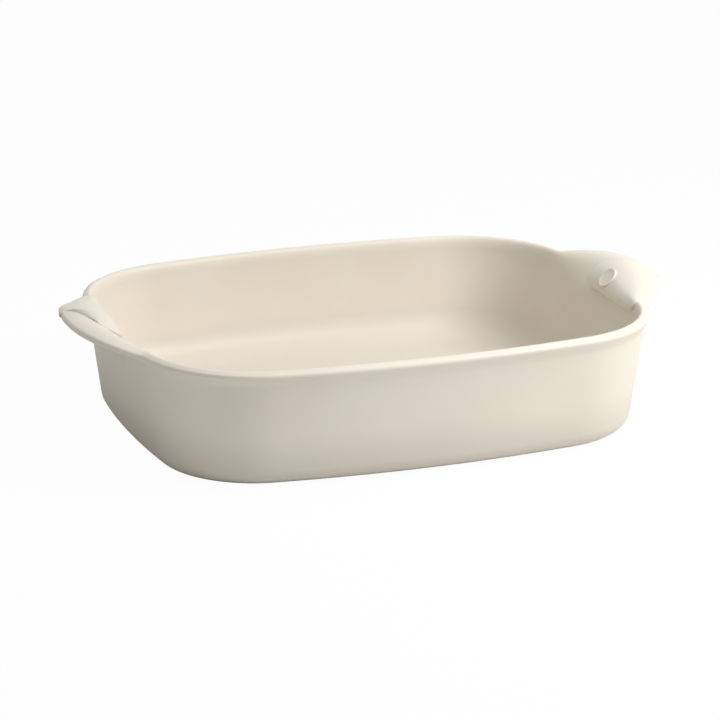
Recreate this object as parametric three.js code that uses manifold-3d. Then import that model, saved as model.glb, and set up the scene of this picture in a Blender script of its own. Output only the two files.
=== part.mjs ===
// Rectangular stoneware baking dish: a drafted basin with a rolled rim, and at each end an ear whose one half
// is rolled in over the rim. The pieces are the clay pieces that a potter joins before firing.
// Millimetres, +Z up, X along the dish. The origin is the middle of the dish on the surface it stands on.
import * as THREE from "three";
import { mergeVertices } from "three/addons/utils/BufferGeometryUtils.js";
import Module from "manifold-3d";

const wasm = await Module();
wasm.setup();

// Plan of the rim's outer edge: bowed long sides, bowed ends, round corners.
const RIM_LENGTH = 315.2;
const RIM_WIDTH = 254;
const RIM_HEIGHT = 70;
const LONG_SIDE_RADIUS = 699;
const END_RADIUS = 369;
const CORNER_RADIUS = 70;
const FOOT_CORNER_RADIUS = 54;

// Section of the wall.
const WALL = 5.5;
const FLOOR = 7;
const SIDE_DRAFT = 9;
const END_DRAFT = 9;
const BOTTOM_RADIUS = 14;
const INSIDE_RADIUS = 17;
const FOOT_WIDTH = 9;
const FOOT_RECESS = 1.2;

// Section of the rim: a lip with a round outer edge, and a flare inside that is deeper at the handles.
const LIP_EDGE = 2.4;
const LIP_DROP = 0.4;
const LIP_DEPTH = 8.5;
const LIP_OVERHANG = 2.2;
const LIP_CROWN = 2.45;
const FLARE_DEPTH = 9;
const EAR_FLARE_DEPTH = 12.5;

// Ears of the handles, which flare out of the rim. Places along the rim are measured from the end's middle.
const EAR_CENTRE = -1;
const EAR_FAR_SPAN = 60;
const EAR_NEAR_SPAN = 61;
const EAR_FAR_FULLNESS = 2.2;
const EAR_NEAR_FULLNESS = 2.5;
const EAR_BLEND_SHARE = 0.12;
const EAR_REACH = 19.4;
const EAR_LIFT = 2.9;
const EAR_UNDER_ANGLE = 241;
const EAR_TOP_ANGLE = 105;
const EAR_TOP_WIDTH = 10.7;
const EAR_CREST = 5.6;
const EAR_CREST_OUT = 1.5;
const EAR_JOINT = 4;
// Under the roll the ear reaches less far.
const EAR_TUCK_SHARE = 0.6;
const EAR_TUCK_FROM = 16;
const EAR_TUCK_TO = 26;

// Rolls: the other half of each handle, rolled in over the rim with its free edge inside the dish.
const ROLL_SPAN = 60;
const ROLL_RISE = 10.6;
const ROLL_DROP = 10;
const ROLL_OVERHANG = 1.7;
const ROLL_EDGE = 4.5;
const ROLL_EDGE_MIDDLE = 7.5;
const ROLL_EDGE_FOCUS = 4;
// Rows run from the fold to the tail, knots from under the lip over the crest to the free edge. Each knot is
// shares of: the roll's span, along the rim; the ear's reach out, or the depth in; the rise, or the drop.
const ROLL_SHARES = [
  [
    [-0.283, 0.853, 0], [-0.267, 1.005, 0.274], [-0.242, 0.917, 0.509],
    [-0.158, 0.642, 0.585], [0.067, 0.367, 0.698], [0.208, 0.239, 0.491],
    [0.275, -0.064, 0.028], [0.2, -0.702, -0.5], [0.067, -0.947, -0.78],
    [-0.017, -0.84, -1],
  ],
  [
    [-0.308, 0.844, -0.01], [-0.292, 1, 0.264], [-0.275, 0.945, 0.566],
    [-0.217, 0.679, 0.755], [-0.05, 0.376, 0.887], [0.067, 0.156, 0.717],
    [0.125, -0.277, 0.264], [0.083, -0.798, -0.32], [-0.017, -0.979, -0.76],
    [-0.075, -0.84, -1],
  ],
  [
    [-0.35, 0.817, -0.04], [-0.333, 0.977, 0.245], [-0.317, 0.936, 0.566],
    [-0.267, 0.716, 0.84], [-0.183, 0.381, 1], [-0.117, 0.064, 0.849],
    [-0.083, -0.489, 0.377], [-0.083, -0.883, -0.22], [-0.1, -1, -0.72],
    [-0.133, -0.83, -1],
  ],
  [
    [-0.567, 0.661, -0.16], [-0.567, 0.826, 0.132], [-0.55, 0.789, 0.396],
    [-0.517, 0.624, 0.604], [-0.483, 0.312, 0.736], [-0.45, 0.014, 0.642],
    [-0.433, -0.532, 0.274], [-0.433, -0.904, -0.27], [-0.442, -1, -0.72],
    [-0.458, -0.83, -1],
  ],
  [
    [-0.8, 0.367, -0.38], [-0.8, 0.532, -0.1], [-0.792, 0.505, 0.113],
    [-0.767, 0.358, 0.283], [-0.75, 0.147, 0.368], [-0.733, -0.191, 0.33],
    [-0.725, -0.638, 0.113], [-0.725, -0.926, -0.28], [-0.733, -1, -0.66],
    [-0.75, -0.83, -0.94],
  ],
  [
    [-0.983, 0.119, -0.52], [-0.983, 0.266, -0.3], [-0.983, 0.239, -0.12],
    [-0.975, 0.092, 0.085], [-0.967, -0.255, 0.151], [-0.95, -0.511, 0.151],
    [-0.942, -0.745, 0.038], [-0.933, -0.936, -0.26], [-0.933, -0.957, -0.54],
    [-0.942, -0.83, -0.74],
  ],
  [
    [-1.1, -0.085, -0.48], [-1.1, 0.037, -0.36], [-1.092, 0.009, -0.24],
    [-1.083, -0.128, -0.08], [-1.075, -0.383, -0.01], [-1.067, -0.553, -0.01],
    [-1.05, -0.723, -0.12], [-1.033, -0.83, -0.32], [-1.025, -0.851, -0.48],
    [-1.017, -0.723, -0.56],
  ],
];

// Plain round seal on the right-hand roll.
const SEAL_DIAMETER = 13.2;
const SEAL_THICKNESS = 1.8;
const SEAL_STANDOFF = 0.6;
const SEAL_EDGE = 0.5;
const SEAL_ALONG_SHARE = 0.35;
const SEAL_ACROSS_SHARE = 0.7;

// Gap that the joining slip fills between two clay pieces.
const SEAM = 0.3;

// Facets.
const END_STEPS = 14;
const CORNER_STEPS = 8;
const SIDE_STEPS = 5;
const ARC_STEPS = 5;
const EAR_STEPS = 24;
const ROLL_STEPS = 24;
const ROLL_SIDES = 24;
const SEAL_SIDES = 32;

const glazedClay = new THREE.MeshStandardMaterial({ color: 0xe9dfcd, roughness: 0.22, metalness: 0 });

const lerp = THREE.MathUtils.lerp;
const tanOf = (degrees) => Math.tan(THREE.MathUtils.degToRad(degrees));

// Centre of the corner arc that touches a long-side arc and an end arc, and the angles where it does.
function cornerOf(halfLength, halfWidth, longRadius, endRadius, cornerRadius) {
  const longCentre = new THREE.Vector2(0, halfWidth - longRadius);
  const endCentre = new THREE.Vector2(halfLength - endRadius, 0);
  const toLong = longRadius - cornerRadius;
  const toEnd = endRadius - cornerRadius;
  const between = endCentre.clone().sub(longCentre);
  const distance = between.length();
  const along = (toLong ** 2 - toEnd ** 2 + distance ** 2) / (2 * distance);
  const across = Math.sqrt(toLong ** 2 - along ** 2);
  const unit = between.divideScalar(distance);
  const centre = longCentre
    .clone()
    .addScaledVector(unit, along)
    .addScaledVector(new THREE.Vector2(unit.y, -unit.x), across);
  return {
    longCentre,
    endCentre,
    centre,
    endAngle: centre.clone().sub(endCentre).angle(),
    longAngle: centre.clone().sub(longCentre).angle(),
  };
}

const arcPoint = (centre, radius, angle) =>
  new THREE.Vector2(centre.x + radius * Math.cos(angle), centre.y + radius * Math.sin(angle));

// Place in plan by steps from an end's middle to a long side's middle, inset by its own amount at each.
function quarterPoint(step, endInset, sideInset) {
  const inset = (endInset + sideInset) / 2;
  const longRadius = LONG_SIDE_RADIUS - sideInset;
  const endRadius = END_RADIUS - endInset;
  const cornerRadius = CORNER_RADIUS - (inset / footInset()) * (CORNER_RADIUS - FOOT_CORNER_RADIUS);
  const halfLength = RIM_LENGTH / 2 - endInset;
  const halfWidth = RIM_WIDTH / 2 - sideInset;
  const c = cornerOf(halfLength, halfWidth, longRadius, endRadius, cornerRadius);
  if (step <= END_STEPS) {
    return arcPoint(c.endCentre, endRadius, (c.endAngle * step) / END_STEPS);
  }
  const past = step - END_STEPS;
  if (past <= CORNER_STEPS) {
    return arcPoint(c.centre, cornerRadius, lerp(c.endAngle, c.longAngle, past / CORNER_STEPS));
  }
  const share = (past - CORNER_STEPS) / SIDE_STEPS;
  return arcPoint(c.longCentre, longRadius, lerp(c.longAngle, Math.PI / 2, share));
}

// Where a fillet touches a drafted wall and the level face that the wall meets at (inset, z).
function fillet(inset, z, radius, draft) {
  const lean = THREE.MathUtils.degToRad(draft);
  const reach = radius * Math.tan((Math.PI / 2 - lean) / 2);
  return { centre: new THREE.Vector2(inset + reach, z + radius), start: Math.PI + lean, end: Math.PI * 1.5 };
}

const wallFootInset = (draft) => LIP_OVERHANG + (RIM_HEIGHT - LIP_DEPTH) * tanOf(draft);

function footInset() {
  const middle = (SIDE_DRAFT + END_DRAFT) / 2;
  return fillet(wallFootInset(middle), 0, BOTTOM_RADIUS, middle).centre.x;
}

const arcPoints = (centre, radius, from, to, steps) =>
  Array.from({ length: steps + 1 }, (_, i) => arcPoint(centre, radius, lerp(from, to, i / steps)));

// Share of the ear's full reach at a place along the rim, before and after the roll's half is shortened.
function wholeShare(distance) {
  const from = distance - EAR_CENTRE;
  const bump =
    from > 0
      ? 1 - (from / EAR_FAR_SPAN) ** EAR_FAR_FULLNESS
      : 1 - (-from / EAR_NEAR_SPAN) ** EAR_NEAR_FULLNESS;
  return Math.min((bump + Math.hypot(bump, EAR_BLEND_SHARE)) / 2, 1);
}

const earShare = (distance) =>
  wholeShare(distance) *
  lerp(1, EAR_TUCK_SHARE, THREE.MathUtils.smoothstep(-distance, EAR_TUCK_FROM, EAR_TUCK_TO));

// Section of the dish from under its middle, round the rim, to the middle of its floor: x is the inset from
// the rim's outer edge and y the height. The share grows the lip into an ear. All have as many points.
function dishSection(draft, share) {
  const lean = tanOf(draft);
  const outside = fillet(wallFootInset(draft), 0, BOTTOM_RADIUS, draft);
  const footInner = outside.centre.x + FOOT_WIDTH;
  const insideTop = LIP_OVERHANG + WALL + (FLARE_DEPTH - LIP_DEPTH) * lean;
  const insideFoot = insideTop + (RIM_HEIGHT - FLARE_DEPTH - FLOOR) * lean;
  const inside = fillet(insideFoot, FLOOR, INSIDE_RADIUS, draft);
  const flare = lerp(FLARE_DEPTH, EAR_FLARE_DEPTH, share);
  const insideEdge = new THREE.Vector2(insideTop + (flare - FLARE_DEPTH) * lean, RIM_HEIGHT - flare);
  const wallTop = new THREE.Vector2(LIP_OVERHANG, RIM_HEIGHT - LIP_DEPTH);
  const centre = new THREE.Vector2(
    lerp(LIP_EDGE, -EAR_REACH, share),
    RIM_HEIGHT + lerp(-LIP_DROP - LIP_EDGE, EAR_LIFT, share),
  );
  const low = lerp(Math.PI * 1.25, THREE.MathUtils.degToRad(EAR_UNDER_ANGLE), share);
  const high = lerp(Math.PI / 2, THREE.MathUtils.degToRad(EAR_TOP_ANGLE), share);
  const lip = arcPoints(centre, LIP_EDGE, low, high, ARC_STEPS + 1);
  const before = new THREE.Vector2(-Math.sin(low), Math.cos(low));
  const after = new THREE.Vector2(Math.sin(high), -Math.cos(high));
  const underside = new THREE.CubicBezierCurve(
    wallTop,
    new THREE.Vector2(wallTop.x, wallTop.y + lerp(LIP_EDGE / 2, WALL / 2, share)),
    lip[0].clone().addScaledVector(before, lerp(LIP_EDGE / 2, EAR_REACH / 2, share)),
    lip[0],
  );
  const top = new THREE.CubicBezierCurve(
    lip.at(-1),
    lip.at(-1).clone().addScaledVector(after, lerp(LIP_EDGE, EAR_TOP_WIDTH, share)),
    new THREE.Vector2(
      lerp(insideTop, -EAR_CREST_OUT, share),
      RIM_HEIGHT + lerp(LIP_CROWN, EAR_CREST, share),
    ),
    insideEdge,
  );
  return [
    new THREE.Vector2(footInner + FOOT_RECESS, FOOT_RECESS),
    new THREE.Vector2(footInner, 0),
    ...arcPoints(outside.centre, BOTTOM_RADIUS, outside.end, outside.start, ARC_STEPS),
    ...underside.getPoints(ARC_STEPS),
    ...lip.slice(1),
    ...top.getPoints(ARC_STEPS + 4).slice(1),
    ...arcPoints(inside.centre, INSIDE_RADIUS, inside.start, inside.end, ARC_STEPS + 1),
  ];
}

// Moves each point of an open section outwards by a distance, away from the clay.
function grown(section, distance) {
  return section.map((point, i) => {
    const before = section[Math.max(i - 1, 0)];
    const after = section[Math.min(i + 1, section.length - 1)];
    const along = after.clone().sub(before).normalize();
    return new THREE.Vector2(point.x - along.y * distance, point.y + along.x * distance);
  });
}

// Closed skin through rings of equal length, with a flat or pointed cap on the first and last ring.
function loft(rings) {
  const count = rings[0].length;
  const middle = (ring) => ring.reduce((sum, p) => sum.add(p), new THREE.Vector3()).divideScalar(count);
  const points = [...rings.flat(), middle(rings[0]), middle(rings.at(-1))];
  const first = rings.length * count;
  const index = [];
  for (let k = 0; k < count; k++) {
    const next = (k + 1) % count;
    for (let r = 0; r + 1 < rings.length; r++) {
      const [a, b] = [r * count + k, r * count + next];
      index.push(a, b, a + count, b, b + count, a + count);
    }
    index.push(first, next, k);
    index.push(first + 1, first - count + k, first - count + next);
  }
  return new THREE.BufferGeometry().setFromPoints(points).setIndex(index);
}

// A closed geometry as a solid that can be cut, and back.
function solidOf(geometry) {
  const bare = new THREE.BufferGeometry()
    .setAttribute("position", geometry.getAttribute("position"))
    .setIndex(geometry.getIndex());
  const merged = mergeVertices(bare, 1e-4);
  return new wasm.Manifold(
    new wasm.Mesh({
      numProp: 3,
      vertProperties: new Float32Array(merged.getAttribute("position").array),
      triVerts: new Uint32Array(merged.getIndex().array),
    }),
  );
}

function geometryOf(solid) {
  const mesh = solid.getMesh();
  return new THREE.BufferGeometry()
    .setAttribute("position", new THREE.BufferAttribute(mesh.vertProperties, 3))
    .setIndex(new THREE.BufferAttribute(mesh.triVerts, 1));
}

// Skin of the basin and both ears as one body. The left handle is the right one turned half round.
function dishGeometry(growth = 0) {
  const quarter = END_STEPS + CORNER_STEPS + SIDE_STEPS;
  const rims = [];
  for (let station = 0; station < 4 * quarter; station++) {
    const turn = Math.floor(station / quarter);
    const step = turn % 2 === 0 ? station % quarter : quarter - (station % quarter);
    const signX = turn === 0 || turn === 3 ? 1 : -1;
    const signY = turn < 2 ? 1 : -1;
    const share = earShare(distanceOf(step) * signX * signY);
    const ends = grown(dishSection(END_DRAFT, share), growth);
    const sides = grown(dishSection(SIDE_DRAFT, share), growth);
    rims.push(
      ends.map((end, i) => {
        const p = quarterPoint(step, end.x, sides[i].x);
        return new THREE.Vector3(p.x * signX, p.y * signY, end.y);
      }),
    );
  }
  return loft(rims[0].map((_, i) => rims.map((rim) => rim[i])));
}

// Point on the rim's outer edge and the way out there, by the distance along the edge from the end's middle.
function rimStation(distance) {
  const c = cornerOf(RIM_LENGTH / 2, RIM_WIDTH / 2, LONG_SIDE_RADIUS, END_RADIUS, CORNER_RADIUS);
  const endArc = END_RADIUS * c.endAngle;
  const onEnd = Math.abs(distance) <= endArc;
  const angle = onEnd
    ? Math.abs(distance) / END_RADIUS
    : c.endAngle + (Math.abs(distance) - endArc) / CORNER_RADIUS;
  const point = arcPoint(onEnd ? c.endCentre : c.centre, onEnd ? END_RADIUS : CORNER_RADIUS, angle);
  const side = Math.sign(distance);
  return {
    point: new THREE.Vector2(point.x, distance === 0 ? 0 : point.y * side),
    out: new THREE.Vector2(Math.cos(angle), Math.sin(angle) * side),
  };
}

// Distance along the rim's edge from the end's middle, by steps.
function distanceOf(step) {
  const c = cornerOf(RIM_LENGTH / 2, RIM_WIDTH / 2, LONG_SIDE_RADIUS, END_RADIUS, CORNER_RADIUS);
  const endArc = END_RADIUS * c.endAngle;
  const cornerArc = CORNER_RADIUS * (c.longAngle - c.endAngle);
  return step <= END_STEPS
    ? (endArc * step) / END_STEPS
    : endArc + (cornerArc * (step - END_STEPS)) / CORNER_STEPS;
}

function onRim(distance, outwards, height) {
  const { point, out } = rimStation(distance);
  return new THREE.Vector3(point.x + out.x * outwards, point.y + out.y * outwards, height);
}

// Block round the right-hand ear, from the joint in the rim outwards.
function earBlock(growth = 0) {
  const inner = -EAR_JOINT - growth;
  const outer = EAR_REACH + LIP_EDGE + WALL;
  const bottom = RIM_HEIGHT - LIP_DEPTH + LIP_EDGE / 2 - growth;
  const top = RIM_HEIGHT + EAR_REACH;
  const near = EAR_CENTRE - EAR_NEAR_SPAN - growth;
  const far = EAR_CENTRE + EAR_FAR_SPAN + growth;
  const rings = Array.from({ length: EAR_STEPS + 1 }, (_, i) => {
    const distance = lerp(near, far, i / EAR_STEPS);
    return [
      onRim(distance, inner, top),
      onRim(distance, outer, top),
      onRim(distance, outer, bottom),
      onRim(distance, inner, bottom),
    ];
  });
  return loft(rings);
}

const smooth = (points) => new THREE.CatmullRomCurve3(points, false, "catmullrom");
const rollKnot = ([along, across, up]) =>
  onRim(
    along * ROLL_SPAN,
    across * (across > 0 ? EAR_REACH + LIP_EDGE : LIP_OVERHANG + WALL + ROLL_OVERHANG),
    RIM_HEIGHT + up * (up > 0 ? ROLL_RISE : ROLL_DROP),
  );
const rollRows = ROLL_SHARES.map((row) => smooth(row.map(rollKnot)));

// Point on a roll's skin: across runs from under the lip to the free edge, along from the fold to the tail.
const rollPoint = (across, along) => smooth(rollRows.map((row) => row.getPoint(across))).getPoint(along);

// Way out of the clay at a place on a roll's skin.
function rollOut(across, along) {
  const step = 1e-3;
  const before = rollPoint(Math.max(across - step, 0), along);
  const inward = rollPoint(Math.min(across + step, 1), along).sub(before);
  const tailward = rollPoint(across, along + step).sub(rollPoint(across, along));
  return inward.cross(tailward).normalize();
}

// How deep the fold's edge goes into the ear.
const edgeDepth = (across) =>
  lerp(ROLL_EDGE, ROLL_EDGE_MIDDLE, Math.sin(Math.PI * across) ** ROLL_EDGE_FOCUS);

function rollGeometry() {
  const sides = Array.from({ length: ROLL_SIDES + 1 }, (_, k) => k / ROLL_SIDES);
  const ringAt = (along) => sides.map((across) => rollPoint(across, along));
  const rings = Array.from({ length: ROLL_STEPS + 1 }, (_, i) => ringAt(i / ROLL_STEPS));
  const edge = rings[0].map((p, k) => p.clone().addScaledVector(rollOut(sides[k], 0), -edgeDepth(sides[k])));
  return loft([edge, ...rings]);
}

// Frame of the seal: its origin on the roll's skin, Z along the way out of the clay.
function sealFrame() {
  const step = 1e-3;
  const origin = rollPoint(SEAL_ACROSS_SHARE, SEAL_ALONG_SHARE);
  const along = rollPoint(SEAL_ACROSS_SHARE, SEAL_ALONG_SHARE + step).sub(origin).normalize();
  const across = rollPoint(SEAL_ACROSS_SHARE + step, SEAL_ALONG_SHARE).sub(origin).normalize();
  const out = along.clone().cross(across).normalize();
  if (out.z < 0) out.negate();
  const turn = new THREE.Quaternion().setFromUnitVectors(new THREE.Vector3(0, 0, 1), out);
  return new THREE.Matrix4().compose(origin, turn, new THREE.Vector3(1, 1, 1));
}

// Round button about Z from one height to another, with a rounded top edge.
function buttonGeometry(radius, bottom, top, edge) {
  const centre = new THREE.Vector2(radius - edge, top - edge);
  const profile = [
    new THREE.Vector2(0, bottom),
    new THREE.Vector2(radius, bottom),
    ...arcPoints(centre, edge, 0, Math.PI / 2, ARC_STEPS),
    new THREE.Vector2(0, top),
  ];
  return new THREE.LatheGeometry(profile, SEAL_SIDES).rotateX(Math.PI / 2);
}

const clay = (name, solid) => {
  const mesh = new THREE.Mesh(geometryOf(solid), glazedClay);
  mesh.name = name;
  return mesh;
};

// The largest body of a cut solid: a cut can leave crumbs.
const largest = (solid) => solid.decompose().sort((a, b) => b.volume() - a.volume())[0];
const halfTurn = [0, 0, 180];

const whole = solidOf(dishGeometry());
const parting = solidOf(earBlock(SEAM));
const basin = largest(whole.subtract(parting).subtract(parting.rotate(halfTurn)));
const ear = largest(whole.intersect(solidOf(earBlock())));
const roll = largest(solidOf(rollGeometry()).subtract(solidOf(dishGeometry(SEAM))));
const seat = sealFrame();
const sealBottom = SEAL_STANDOFF - SEAL_THICKNESS;
const seal = solidOf(
  buttonGeometry(SEAL_DIAMETER / 2, sealBottom, SEAL_STANDOFF, SEAL_EDGE).applyMatrix4(seat),
);
const sealPocket = solidOf(
  buttonGeometry(SEAL_DIAMETER / 2 + SEAM, sealBottom - SEAM, ROLL_RISE, SEAL_EDGE).applyMatrix4(seat),
);

const dish = new THREE.Group();
dish.add(clay("basin", basin));
dish.add(clay("right_ear", ear));
dish.add(clay("right_roll", roll.subtract(sealPocket)));
dish.add(clay("seal", seal));

const leftHandle = new THREE.Group();
leftHandle.rotation.z = Math.PI;
leftHandle.add(clay("left_ear", ear));
leftHandle.add(clay("left_roll", roll));
dish.add(leftHandle);

export default dish;
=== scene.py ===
import functools
import math
import bmesh
import bpy
from mathutils import Matrix, Vector


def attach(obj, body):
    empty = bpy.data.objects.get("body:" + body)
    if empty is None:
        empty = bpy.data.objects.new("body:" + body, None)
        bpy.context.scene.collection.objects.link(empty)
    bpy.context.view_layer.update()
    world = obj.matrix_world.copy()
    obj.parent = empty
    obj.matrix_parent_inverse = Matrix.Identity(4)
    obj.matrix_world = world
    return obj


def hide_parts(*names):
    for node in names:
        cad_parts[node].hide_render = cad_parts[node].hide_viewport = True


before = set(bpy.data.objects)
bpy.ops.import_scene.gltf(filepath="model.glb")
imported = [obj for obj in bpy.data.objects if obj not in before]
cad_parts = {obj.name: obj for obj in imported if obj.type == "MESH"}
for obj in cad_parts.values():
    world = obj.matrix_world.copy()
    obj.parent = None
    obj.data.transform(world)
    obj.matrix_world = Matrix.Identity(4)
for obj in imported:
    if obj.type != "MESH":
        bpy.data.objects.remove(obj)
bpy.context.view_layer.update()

weldDistance = 0.000001  # points nearer than this become one


def lerp(a, b, t):
    return a + (b - a) * t


def smoothstep(x, low, high):
    t = min(max((x - low) / (high - low), 0.0), 1.0)
    return t * t * (3 - 2 * t)


def arcPoints(centre, radius, start, end, steps):
    turns = [lerp(start, end, i / steps) for i in range(steps + 1)]
    return [(centre[0] + radius * math.cos(a), centre[1] + radius * math.sin(a)) for a in turns]


def bezierPoints(p0, p1, p2, p3, steps):
    made = []
    for i in range(steps + 1):
        t = i / steps
        u = 1 - t
        weights = (u * u * u, 3 * u * u * t, 3 * u * t * t, t * t * t)
        made.append(tuple(sum(w * p[k] for w, p in zip(weights, (p0, p1, p2, p3))) for k in (0, 1)))
    return made


# shader nodes as expressions
class Sock:
    def __init__(self, tree, socket):
        self.tree, self.socket = tree, socket

    def node(self, kind, settings=None, out=0, **inputs):  # i0, i1 are sockets by number, others by name
        made = self.tree.nodes.new(kind)
        for name, value in (settings or {}).items():
            setattr(made, name, value)
        for key, value in inputs.items():
            index = int(key[1:]) if key[0] == "i" and key[1:].isdigit() else key.replace("_", " ")
            target = made.inputs[index]
            if isinstance(value, Sock):
                self.tree.links.new(value.socket, target)
            else:
                target.default_value = value
        return Sock(self.tree, made.outputs[out])

    def maths(self, operation, a, b):
        return self.node("ShaderNodeMath", {"operation": operation}, i0=a, i1=b)

    def __add__(self, other):
        return self.maths("ADD", self, other)

    def __radd__(self, other):
        return self.maths("ADD", other, self)

    def __sub__(self, other):
        return self.maths("SUBTRACT", self, other)

    def __rsub__(self, other):
        return self.maths("SUBTRACT", other, self)

    def __mul__(self, other):
        return self.maths("MULTIPLY", self, other)

    def __rmul__(self, other):
        return self.maths("MULTIPLY", other, self)

    def between(self, low, high):  # 0 below low, 1 above high
        return self.node("ShaderNodeMapRange", {"interpolation_type": "SMOOTHSTEP"},
                         Value=self, From_Min=low, From_Max=high)

    def mixed(self, a, b):  # two colours, this socket as the factor
        return self.node("ShaderNodeMix", {"data_type": "RGBA"}, out=2, i0=self, i6=a, i7=b)


def newMaterial(name):
    material = bpy.data.materials.new(name)
    material.use_nodes = True
    tree = material.node_tree
    tree.nodes.clear()
    output = tree.nodes.new("ShaderNodeOutputMaterial")
    place = tree.nodes.new("ShaderNodeTexCoord")
    return material, output, Sock(tree, place.outputs["Object"])


def join(tree, shader, output):
    tree.links.new(shader.socket, output.inputs["Surface"])


# cream glaze, a little cloudy, with painted shade darker towards the bottom, and bare clay under the foot
glaze = {
    "cream": (0.80, 0.742, 0.645, 1), "cloud": (0.775, 0.713, 0.61, 1),
    "paintedShade": (0.70, 0.647, 0.56, 1), "paintedShadeHeights": (0.006, 0.034),  # painted shade: darker on the floor and along the bottom edge
    "clay": (0.62, 0.46, 0.33, 1), "clayHeights": (0.0002, 0.0007),
    "cloudScale": 14.0, "cloudDetail": 3.0, "cloudEdges": (0.42, 0.72),
    "rippleScale": 55.0, "grainScale": 900.0, "surfaceDetail": 2.0,
    "bump": 0.05, "bumpDistance": 0.001, "grainBump": 0.15,
    "roughness": 0.46, "grainRoughness": 0.08, "clayRoughness": 0.5,
    "specular": 0.3, "coat": 0.22, "coatRoughness": 0.25, "coatIor": 1.5,
}


def makeGlaze():
    material, output, place = newMaterial("creamGlaze")
    detail = glaze["surfaceDetail"]
    soft = place.node("ShaderNodeTexNoise", Vector=place, Scale=glaze["cloudScale"],
                      Detail=glaze["cloudDetail"])
    fine = place.node("ShaderNodeTexNoise", Vector=place, Scale=glaze["grainScale"], Detail=detail)
    ripple = place.node("ShaderNodeTexNoise", Vector=place, Scale=glaze["rippleScale"], Detail=detail)
    height = place.node("ShaderNodeSeparateXYZ", out=2, Vector=place)
    foot = 1 - height.between(*glaze["clayHeights"])
    cloudy = soft.between(*glaze["cloudEdges"]).mixed(glaze["cream"], glaze["cloud"])
    # painted shade: the glaze turns to a darker tint low down, on the floor and along the bottom edge
    withPaintedShade = (1 - height.between(*glaze["paintedShadeHeights"])).mixed(cloudy, glaze["paintedShade"])
    colour = foot.mixed(withPaintedShade, glaze["clay"])
    roughness = glaze["roughness"] + fine * glaze["grainRoughness"] + foot * glaze["clayRoughness"]
    bump = place.node("ShaderNodeBump", Height=ripple + fine * glaze["grainBump"],
                      Strength=glaze["bump"], Distance=glaze["bumpDistance"])
    shader = place.node("ShaderNodeBsdfPrincipled", Base_Color=colour, Roughness=roughness, Normal=bump,
                        Specular_IOR_Level=glaze["specular"], Coat_Weight=(1 - foot) * glaze["coat"],
                        Coat_Roughness=glaze["coatRoughness"], Coat_IOR=glaze["coatIor"])
    join(place.tree, shader, output)
    return material


creamGlaze = makeGlaze()
print("glaze made")


def finishPiece(bm, name, nodes):
    bmesh.ops.recalc_face_normals(bm, faces=bm.faces[:])
    for face in bm.faces:
        face.smooth = True
    mesh = bpy.data.meshes.new(name)
    bm.to_mesh(mesh)
    bm.free()
    mesh.materials.append(creamGlaze)
    piece = bpy.data.objects.new(name, mesh)
    bpy.context.scene.collection.objects.link(piece)
    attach(piece, "root")
    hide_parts(*nodes)
    print(name, len(mesh.polygons), "faces")


# plan and section of the dish
dish = {
    "rimLength": 0.3152, "rimWidth": 0.254, "rimHeight": 0.070,
    "longSideRadius": 0.699, "endRadius": 0.369, "cornerRadius": 0.070,
    "footEndRadius": 1.0, "footCornerRadius": 0.050,  # the plan's rounds at the foot
    "sideDraft": 8.5, "endDraft": 8.5, "bottomRadius": 0.0115,
    "insideInset": 0.0078, "insideDraft": 9.0, "insideRadius": 0.022, "floor": 0.007, "floorCrown": 0.0005,
    "footWidth": 0.009,
    "footEdge": ((0.0016, 0.0012), (0.0006, 0.0009), (0, 0.0002), (-0.0005, 0)),  # inset and height inside it
    "lipEdge": 0.0017, "lipDrop": 0.0011, "lipDepth": 0.0105, "lipOverhang": 0.0036, "flareDepth": 0.009,
    "lipAngles": (208.0, 110.0),  # where the lip's round starts and ends
    "underPull": 0.0025, "wallPull": (0.003, 0.0025),  # how the curve under the lip leaves lip and wall
    "topPull": (0.0018, 0.0003), "crest": (0.0076, 0.0033),  # how the curve over the lip starts and ends
    "endSteps": 36, "cornerSteps": 20, "sideSteps": 14,
    "bottomSteps": 9, "underSteps": 12, "lipSteps": 14, "overSteps": 22, "insideSteps": 12,
    "wallShares": (0.4, 0.6, 0.8), "insideShare": 0.8,  # heights of the points up the walls
    "floorRings": (0.85, 0.6, 0.3),
}
# ears at the two ends, as a change of the rim's section
ear = {
    "centre": -0.001, "farSpan": 0.060, "nearSpan": 0.061, "fullness": (2.2, 2.5), "blend": 0.12,
    "reach": 0.0193, "lift": 0.0029, "edge": 0.0024, "underAngle": 241.0, "topAngle": 105.0,
    "underPull": 0.009, "wallRise": 0.0035, "topWidth": 0.0107, "crest": 0.0056, "crestOut": 0.0015,
    "insideDrop": 0.0035,
    "tuck": 0.6, "tuckFrom": 0.016, "tuckTo": 0.026,  # under the roll the ear is shorter
}
quarterSteps = dish["endSteps"] + dish["cornerSteps"] + dish["sideSteps"]


def wallFoot(draft):
    return dish["lipOverhang"] + (dish["rimHeight"] - dish["lipDepth"]) * math.tan(math.radians(draft))


def filletOf(inset, z, radius, draft):  # centre and angles of a round between a wall and a level face
    lean = math.radians(draft)
    reach = radius * math.tan((math.pi / 2 - lean) / 2)
    return (inset + reach, z + radius), math.pi + lean, math.pi * 1.5


def footInset():
    middle = (dish["sideDraft"] + dish["endDraft"]) / 2
    return filletOf(wallFoot(middle), 0, dish["bottomRadius"], middle)[0][0]


def cornerOf(halfLength, halfWidth, longRadius, endRadius, cornerRadius):  # round that meets both sides
    longCentre = Vector((0, halfWidth - longRadius))
    endCentre = Vector((halfLength - endRadius, 0))
    toLong, toEnd = longRadius - cornerRadius, endRadius - cornerRadius
    between = endCentre - longCentre
    distance = between.length
    along = (toLong ** 2 - toEnd ** 2 + distance ** 2) / (2 * distance)
    across = math.sqrt(toLong ** 2 - along ** 2)
    unit = between / distance
    centre = longCentre + unit * along + Vector((unit.y, -unit.x)) * across
    fromEnd, fromLong = centre - endCentre, centre - longCentre
    return longCentre, endCentre, centre, math.atan2(fromEnd.y, fromEnd.x), math.atan2(fromLong.y, fromLong.x)


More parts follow.
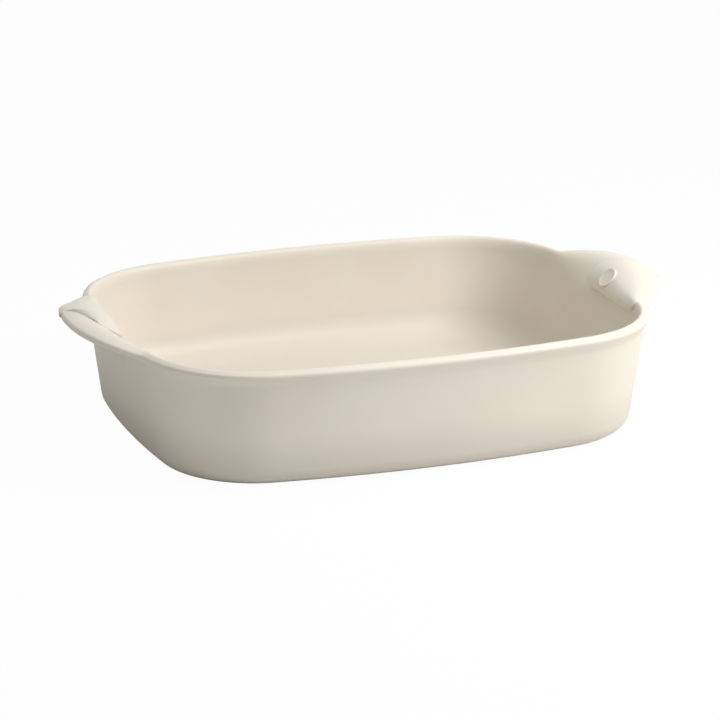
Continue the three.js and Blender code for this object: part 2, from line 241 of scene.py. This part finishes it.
def rimCorner():
    return cornerOf(dish["rimLength"] / 2, dish["rimWidth"] / 2, dish["longSideRadius"], dish["endRadius"],
                    dish["cornerRadius"])


def quarterPoint(step, endInset, sideInset):  # step counts from the end's middle to the long side's middle
    lowCorner = (endInset + sideInset) / 2 / footInset()
    corner = dish["cornerRadius"] - lowCorner * (dish["cornerRadius"] - dish["footCornerRadius"])
    lowEnd = min(endInset / footInset(), 1.0)  # the ends are flatter at the foot
    longRadius = dish["longSideRadius"] - sideInset
    endRadius = 1 / ((1 - lowEnd) / dish["endRadius"] + lowEnd / dish["footEndRadius"]) - endInset
    longCentre, endCentre, centre, endAngle, longAngle = cornerOf(
        dish["rimLength"] / 2 - endInset, dish["rimWidth"] / 2 - sideInset, longRadius, endRadius, corner)
    pastEnd = step - dish["endSteps"]
    pastCorner = pastEnd - dish["cornerSteps"]
    if pastEnd <= 0:
        middle, radius, angle = endCentre, endRadius, endAngle * step / dish["endSteps"]
    elif pastCorner <= 0:
        middle, radius, angle = centre, corner, lerp(endAngle, longAngle, pastEnd / dish["cornerSteps"])
    else:
        middle, radius = longCentre, longRadius
        angle = lerp(longAngle, math.pi / 2, pastCorner / dish["sideSteps"])
    return middle.x + radius * math.cos(angle), middle.y + radius * math.sin(angle)


def quarterOf(station):  # step within a quarter, and the signs of x and y
    quarter, step = divmod(station, quarterSteps)
    if quarter % 2:
        step = quarterSteps - step
    return step, (1, -1, -1, 1)[quarter], (1, 1, -1, -1)[quarter]


def rimArc():  # lengths along the rim: half of an end, and a corner
    _, _, _, endAngle, longAngle = rimCorner()
    return dish["endRadius"] * endAngle, dish["cornerRadius"] * (longAngle - endAngle)


def distanceOf(step):  # along the rim from the end's middle
    endArc, cornerArc = rimArc()
    if step <= dish["endSteps"]:
        return endArc * step / dish["endSteps"]
    return endArc + cornerArc * (step - dish["endSteps"]) / dish["cornerSteps"]


def earShare(distance):  # 1 at the ear's middle, 0 where it leaves the rim
    far = distance > ear["centre"]
    span, fullness = (ear["farSpan"], ear["fullness"][0]) if far else (ear["nearSpan"], ear["fullness"][1])
    bump = 1 - abs((distance - ear["centre"]) / span) ** fullness
    whole = min((bump + math.sqrt(bump * bump + ear["blend"] ** 2)) / 2, 1.0)
    return whole * lerp(1, ear["tuck"], smoothstep(-distance, ear["tuckFrom"], ear["tuckTo"]))


def lipCurves(wallTop, lean, insideEdge, share):  # under the lip, round its edge, and over it to the inside
    top, edge = dish["rimHeight"], lerp(dish["lipEdge"], ear["edge"], share)
    centre = (lerp(edge, -ear["reach"], share), top + lerp(-dish["lipDrop"] - edge, ear["lift"], share))
    low = math.radians(lerp(dish["lipAngles"][0], ear["underAngle"], share))
    high = math.radians(lerp(dish["lipAngles"][1], ear["topAngle"], share))
    lip = arcPoints(centre, edge, low, high, dish["lipSteps"])
    away = lerp(dish["underPull"], ear["underPull"], share)
    along = lerp(dish["topPull"][0], ear["topWidth"], share)
    wallOut, wallRise = dish["wallPull"]
    underNear = (wallTop[0] - lean * wallOut, wallTop[1] + lerp(wallRise, ear["wallRise"], share))
    underFar = (lip[0][0] - math.sin(low) * away, lip[0][1] + math.cos(low) * away)
    topNear = (lip[-1][0] + math.sin(high) * along,
               lip[-1][1] - math.cos(high) * along + lerp(dish["topPull"][1], 0, share))
    crestIn, crestRise = dish["crest"]
    topFar = (lerp(crestIn, -ear["crestOut"], share), top + lerp(crestRise, ear["crest"], share))
    return (bezierPoints(wallTop, underNear, underFar, lip[0], dish["underSteps"]) + lip[1:]
            + bezierPoints(lip[-1], topNear, topFar, insideEdge, dish["overSteps"])[1:])


def dishSection(draft, share):  # (inset, z) from under the foot, over the lip, to the floor
    foot, flare = wallFoot(draft), dish["rimHeight"] - dish["flareDepth"]
    lean, insideLean = math.tan(math.radians(draft)), math.tan(math.radians(dish["insideDraft"]))
    outside = filletOf(foot, 0, dish["bottomRadius"], draft)
    insideFoot = dish["insideInset"] + (flare - dish["floor"]) * insideLean
    inside = filletOf(insideFoot, dish["floor"], dish["insideRadius"], dish["insideDraft"])
    footInner = outside[0][0] + dish["footWidth"]
    wallTop = (dish["lipOverhang"], dish["rimHeight"] - dish["lipDepth"])
    deep = lerp(0, ear["insideDrop"], share)
    insideEdge = (dish["insideInset"] + deep * insideLean, flare - deep)
    insideHeight = dish["insideShare"] * flare
    return (
        [(footInner + inset, z) for inset, z in dish["footEdge"]]
        + arcPoints(outside[0], dish["bottomRadius"], outside[2], outside[1], dish["bottomSteps"])
        + [(lerp(foot, wallTop[0], t), lerp(0, wallTop[1], t)) for t in dish["wallShares"]]
        + lipCurves(wallTop, lean, insideEdge, share)
        + [(dish["insideInset"] + (flare - insideHeight) * insideLean, insideHeight)]
        + arcPoints(inside[0], dish["insideRadius"], inside[1], inside[2], dish["insideSteps"])
    )


def makeDish():
    ends, sides, turned = {}, {}, {}
    for step in range(quarterSteps + 1):
        onEar = step <= dish["endSteps"] + dish["cornerSteps"]
        for side in (1, -1):
            share = earShare(distanceOf(step) * side) if onEar else 0.0
            ends[step, side] = dishSection(dish["endDraft"], share)
            sides[step, side] = dishSection(dish["sideDraft"], share)
        turned[step] = min(max((step - dish["endSteps"]) / dish["cornerSteps"], 0), 1)  # from end to side

    def place(station, ring):  # the left handle is the right one turned half round
        step, signX, signY = quarterOf(station)
        onEnd, onSide = ends[step, signX * signY][ring], sides[step, signX * signY][ring]
        x, y = quarterPoint(step, onEnd[0], onSide[0])
        return Vector((x * signX, y * signY, lerp(onEnd[1], onSide[1], turned[step])))

    def extruded(bm, ring):
        made = bmesh.ops.extrude_edge_only(bm, edges=ring)["geom"]
        return ([g for g in made if isinstance(g, bmesh.types.BMEdge)],
                [g for g in made if isinstance(g, bmesh.types.BMVert)])

    bm = bmesh.new()
    layer = bm.verts.layers.int.new("station")
    around = bmesh.ops.create_circle(bm, segments=4 * quarterSteps, radius=dish["rimWidth"] / 2)["verts"]
    for i, vert in enumerate(around):
        vert[layer] = i
        vert.co = place(i, 0)
    ring = bm.edges[:]
    bmesh.ops.contextual_create(bm, geom=ring)  # recess under the foot
    rings = len(ends[0, 1])
    for r in range(1, rings):
        ring, verts = extruded(bm, ring)
        for vert in verts:
            vert.co = place(vert[layer], r)
    for shrink in dish["floorRings"]:
        ring, verts = extruded(bm, ring)
        for vert in verts:
            edge = place(vert[layer], rings - 1)
            vert.co = (edge.x * shrink, edge.y * shrink, edge.z + dish["floorCrown"] * (1 - shrink ** 2))
    bmesh.ops.contextual_create(bm, geom=ring)
    finishPiece(bm, "dishBody", ["basin", "left_ear", "right_ear"])


makeDish()

# half of each handle, rolled in over the rim
roll = {
    "net": [  # rows from the fold to the tail, points from the lip over the crest to inside
        # mm: along the rim, out from its edge, above the rim
        [(-17, 18.6, 0), (-16, 21.9, 2.9), (-14.5, 20, 5.4), (-9.5, 14, 6.2), (4, 8, 7.6),
         (12, 5, 6), (13.8, -2.4, 1.8), (9.8, -9.6, -3.2), (2.8, -11, -7.2), (-2, -8, -10)],
        [(-18.5, 18.4, -0.1), (-17.5, 21.8, 2.8), (-16.5, 20.6, 6), (-13, 14.8, 8), (-3, 8.2, 9.4),
         (4, 2.6, 8), (6, -5.2, 4), (3.5, -10.6, -1.8), (-1.5, -11.2, -6.8), (-5, -7.9, -10)],
        [(-21, 17.8, -0.4), (-20, 21.3, 2.6), (-19, 20.4, 6), (-16, 15.6, 8.9), (-11, 8.3, 10.5),
         (-7, 0.8, 9.2), (-5, -6.4, 5), (-5, -11, -1), (-6, -11.4, -6.4), (-8, -7.8, -10)],
        [(-34, 14.4, -1.6), (-34, 18, 1.4), (-33, 17.2, 4.2), (-31, 13.6, 6.4), (-29, 6.8, 7.8),
         (-27, 0.3, 6.8), (-26, -6.4, 3.4), (-26, -10.4, -1.8), (-26.5, -10.8, -6.4), (-27.5, -7.8, -10)],
        [(-48, 8, -3.8), (-48, 11.6, -1), (-47.5, 11, 1.2), (-46, 7.8, 3), (-45, 3.2, 3.9),
         (-44, -1.8, 3.5), (-43.5, -6.6, 1.3), (-43.5, -9.6, -2.4), (-44, -10, -6), (-45, -7.8, -9.4)],
        [(-59, 2.6, -5.2), (-59, 5.8, -3), (-59, 5.2, -1.2), (-58.5, 2, 0.9), (-58, -2.4, 1.6),
         (-57, -4.8, 1.6), (-56.5, -7, 0.4), (-56, -8.8, -2.6), (-56, -9, -5.4), (-56.5, -7.8, -7.4)],
        [(-66, -0.8, -4.8), (-66, 0.8, -3.6), (-65.5, 0.2, -2.4), (-65, -1.2, -0.8), (-64.5, -3.6, -0.1),
         (-64, -5.2, -0.1), (-63, -6.8, -1.2), (-62, -7.8, -3.2), (-61.5, -8, -4.8), (-61, -6.8, -5.6)],
    ],
    "settle": {1: 0.0, -1: 0.0024},  # formed by hand, the left one lies lower
    "settleRows": (0.75, 0.85, 1, 0.9, 0.6, 0.2, 0),
    "settlePoints": (0, 0, 0.3, 0.75, 1, 0.95, 0.6, 0.7, 0.3, 0),
    "easePoints": (0, 0, 0, 0, 0, 0.1, 0.8, 1.1, 0.8, 0),  # and nearer to the wall
    "rounds": (0.0012, 0.0008), "roundShares": (0.15, 0.5),  # round of the fold's edge, lip to inside
    "edge": (0.0045, 0.0075), "edgePower": 4,  # how deep the fold's edge goes, at its ends and in its middle
    "spread": {1: -0.001, -1: 0.0018},  # how far the foot of that edge stands out, or in where negative
    "probe": 0.002,  # share of the roll over which its slope is measured
    "alongSteps": 100, "aroundSteps": 80, "roundSteps": 5, "underSteps": 6,
}


def rimStation(distance):  # point on the rim's edge and the way out there
    endArc, _ = rimArc()
    _, endCentre, centre, endAngle, _ = rimCorner()
    far, side = abs(distance), math.copysign(1, distance)
    onEnd = far <= endArc
    angle = far / dish["endRadius"] if onEnd else endAngle + (far - endArc) / dish["cornerRadius"]
    middle, radius = (endCentre, dish["endRadius"]) if onEnd else (centre, dish["cornerRadius"])
    return (Vector((middle.x + radius * math.cos(angle), (middle.y + radius * math.sin(angle)) * side)),
            Vector((math.cos(angle), math.sin(angle) * side)))


def through(points, t):  # smooth path through points, t from 0 to 1
    padded = [2 * points[0] - points[1]] + points + [2 * points[-1] - points[-2]]
    at = min(max(t, 0.0), 1.0) * (len(points) - 1)
    k = min(int(at), len(points) - 2)
    a, b, c, d = padded[k:k + 4]
    t = at - k
    bend, twist = 2 * a - 5 * b + 4 * c - d, 3 * b - a - 3 * c + d
    return 0.5 * (2 * b + (c - a) * t + bend * t * t + twist * t ** 3)


def onRim(distance, out, height):
    point, way = rimStation(distance)
    return Vector((point.x + way.x * out, point.y + way.y * out, dish["rimHeight"] + height))


def netOf(side):  # 1 is the right roll, -1 the left one
    made = []
    for row, rowShare in zip(roll["net"], roll["settleRows"]):
        settled = roll["settle"][side] * rowShare
        made.append([onRim(d / 1000, out / 1000 + settled * ease, height / 1000 - settled * drop)
                     for (d, out, height), drop, ease in zip(row, roll["settlePoints"], roll["easePoints"])])
    return made


rollNets = {side: netOf(side) for side in (1, -1)}


@functools.lru_cache(maxsize=None)
def rowPoints(side, across):
    return [through(row, across) for row in rollNets[side]]


def rollPoint(side, across, along):
    return through(rowPoints(side, across), along)


def rollFrame(side, across, along):  # point, way along the roll, way out of the clay
    step = roll["probe"]
    tailward = rollPoint(side, across, along + step) - rollPoint(side, across, max(along - step, 0))
    inward = rollPoint(side, min(across + step, 1), along) - rollPoint(side, max(across - step, 0), along)
    tailward.normalize()
    return rollPoint(side, across, along), tailward, inward.normalized().cross(tailward).normalized()


def rollRow(side, row):  # rows before 0 go round the fold's edge and down
    made = []
    for k in range(roll["aroundSteps"] + 1):
        across = k / roll["aroundSteps"]
        if row > 0:
            made.append(rollPoint(side, across, row / roll["alongSteps"]))
            continue
        origin, tailward, out = rollFrame(side, across, 0)
        if row < -roll["roundSteps"]:  # down into the ear
            depth = lerp(*roll["edge"], math.sin(math.pi * across) ** roll["edgePower"])
            made.append(origin - out * depth - tailward * roll["spread"][side])
            continue
        radius = lerp(*roll["rounds"], smoothstep(across, *roll["roundShares"]))
        turn = math.pi / 2 * -row / roll["roundSteps"]
        centre = origin + (tailward - out) * radius
        made.append(centre + out * (radius * math.cos(turn)) - tailward * (radius * math.sin(turn)))
    return made + [made[-1].lerp(made[0], (k + 1) / roll["underSteps"]) for k in range(roll["underSteps"])]


def makeRoll(name, side, node):
    first, last = -roll["roundSteps"] - 1, roll["alongSteps"]
    rows = [rollRow(side, row) for row in range(first, last + 1) if row != 1]  # row 1 lies within the round
    lastRow, lastColumn = len(rows) - 1, len(rows[0]) - 1
    bm = bmesh.new()
    bmesh.ops.create_grid(bm, x_segments=lastRow, y_segments=lastColumn, size=0.5)
    for vert in bm.verts:
        point = rows[round((vert.co.x + 0.5) * lastRow)][round((vert.co.y + 0.5) * lastColumn)]
        vert.co = (point.x * side, point.y * side, point.z)
    bmesh.ops.remove_doubles(bm, verts=bm.verts[:], dist=weldDistance)
    bmesh.ops.holes_fill(bm, edges=[e for e in bm.edges if e.is_boundary], sides=0)
    finishPiece(bm, name, [node])


makeRoll("leftRoll", -1, "left_roll")
makeRoll("rightRoll", 1, "right_roll")

# plain round seal on the right roll, near its fold
seal = {
    "across": 0.70, "along": 0.43, "diameter": 0.0132, "standoff": 0.0005, "depth": 0.0016,
    "round": 0.0004, "roundSteps": 4, "sides": 64,
    "hollow": ((0.0010, 0), (0.0014, 0.00025), (0.002, 0.0003)),  # in from the side, down from the top
}


def makeSeal():
    origin, _, out = rollFrame(1, seal["across"], seal["along"])
    turn = Vector((0, 0, 1)).rotation_difference(out).to_matrix().to_4x4()
    radius, top, edge = seal["diameter"] / 2, seal["standoff"], seal["round"]
    profile = [(0, -seal["depth"]), (radius, -seal["depth"])]
    profile += arcPoints((radius - edge, top - edge), edge, 0, math.pi / 2, seal["roundSteps"])
    profile += [(radius - inset, top - down) for inset, down in seal["hollow"]]
    profile.append((0, profile[-1][1]))
    bm = bmesh.new()
    verts = [bm.verts.new((r, 0, z)) for r, z in profile]
    edges = [bm.edges.new(pair) for pair in zip(verts, verts[1:])]
    bmesh.ops.spin(bm, geom=verts + edges, cent=(0, 0, 0), axis=(0, 0, 1), angle=math.tau,
                   steps=seal["sides"], use_merge=True)
    bmesh.ops.remove_doubles(bm, verts=bm.verts[:], dist=weldDistance)
    bmesh.ops.transform(bm, matrix=Matrix.Translation(origin) @ turn, verts=bm.verts[:])
    finishPiece(bm, "roundSeal", ["seal"])


makeSeal()

# floor, light and camera
studio = {
    "white": (1, 1, 1, 1), "floor": (0.82, 0.82, 0.81, 1), "floorSize": 6.0,
    "floorGlow": 0.96,  # share of plain white that the camera sees
    "worldStrength": 0.37, "worldGloss": 0.9,  # on the dish, and in its reflections
    "aim": (0, 0, 0.04),
    "key": {"place": (0.50, -0.41, 0.63), "size": (0.45, 0.45), "power": 5.7},
    "top": {"place": (0.1, 0.3, 1.9), "size": (1.6, 1.6), "power": 9.5},
}
view = {
    "azimuth": -20.35, "elevation": 17.11, "distance": 1.92439, "target": (-0.00258, 0, 0.035),
    "lens": 163.41, "sensor": 36, "shift": (0.0012, -0.00511),
}


def makeFloor():
    material, output, place = newMaterial("paleFloor")
    diffuse = place.node("ShaderNodeBsdfDiffuse", Color=studio["floor"])
    glow = place.node("ShaderNodeEmission", Color=studio["white"], Strength=1.0)
    seen = place.node("ShaderNodeLightPath")  # its first output is Is Camera Ray
    lit = place.node("ShaderNodeMixShader", Fac=seen * studio["floorGlow"], i1=diffuse, i2=glow)
    join(place.tree, lit, output)
    bm = bmesh.new()
    bmesh.ops.create_grid(bm, x_segments=1, y_segments=1, size=studio["floorSize"])
    mesh = bpy.data.meshes.new("floor")
    bm.to_mesh(mesh)
    bm.free()
    mesh.materials.append(material)
    floor = bpy.data.objects.new("floor", mesh)
    bpy.context.scene.collection.objects.link(floor)


def makeLight(name, lamp):
    data = bpy.data.lights.new(name, "AREA")
    data.shape, data.energy = "RECTANGLE", lamp["power"]
    data.size, data.size_y = lamp["size"]
    light = bpy.data.objects.new(name, data)
    light.location = lamp["place"]
    light.rotation_euler = (Vector(studio["aim"]) - Vector(lamp["place"])).to_track_quat("-Z", "Y").to_euler()
    bpy.context.scene.collection.objects.link(light)


def makeWorld():
    world = bpy.data.worlds.new("studioWorld")
    bpy.context.scene.world = world
    world.use_nodes = True
    tree = world.node_tree
    tree.nodes.clear()
    output = tree.nodes.new("ShaderNodeOutputWorld")
    path = tree.nodes.new("ShaderNodeLightPath")
    seen, mirrored = Sock(tree, path.outputs["Is Camera Ray"]), Sock(tree, path.outputs["Is Glossy Ray"])
    plain = studio["worldStrength"]
    strength = plain + seen * (1 - plain) + mirrored * (studio["worldGloss"] - plain)
    sky = seen.node("ShaderNodeBackground", Color=studio["white"], Strength=strength)
    join(tree, sky, output)


def makeCamera():
    data = bpy.data.cameras.new("camera")
    data.lens, data.sensor_width = view["lens"], view["sensor"]
    data.shift_x, data.shift_y = view["shift"]
    az, el = math.radians(view["azimuth"]), math.radians(view["elevation"])
    back = Vector((math.sin(az) * math.cos(el), -math.cos(az) * math.cos(el), math.sin(el)))
    camera = bpy.data.objects.new("camera", data)
    camera.location = Vector(view["target"]) + back * view["distance"]
    camera.rotation_euler = back.to_track_quat("Z", "Y").to_euler()
    bpy.context.scene.collection.objects.link(camera)
    bpy.context.scene.camera = camera


makeFloor()
makeLight("keyLight", studio["key"])
makeLight("topLight", studio["top"])
makeWorld()
makeCamera()
bpy.context.scene.view_settings.view_transform = "Standard"
print("studio ready")
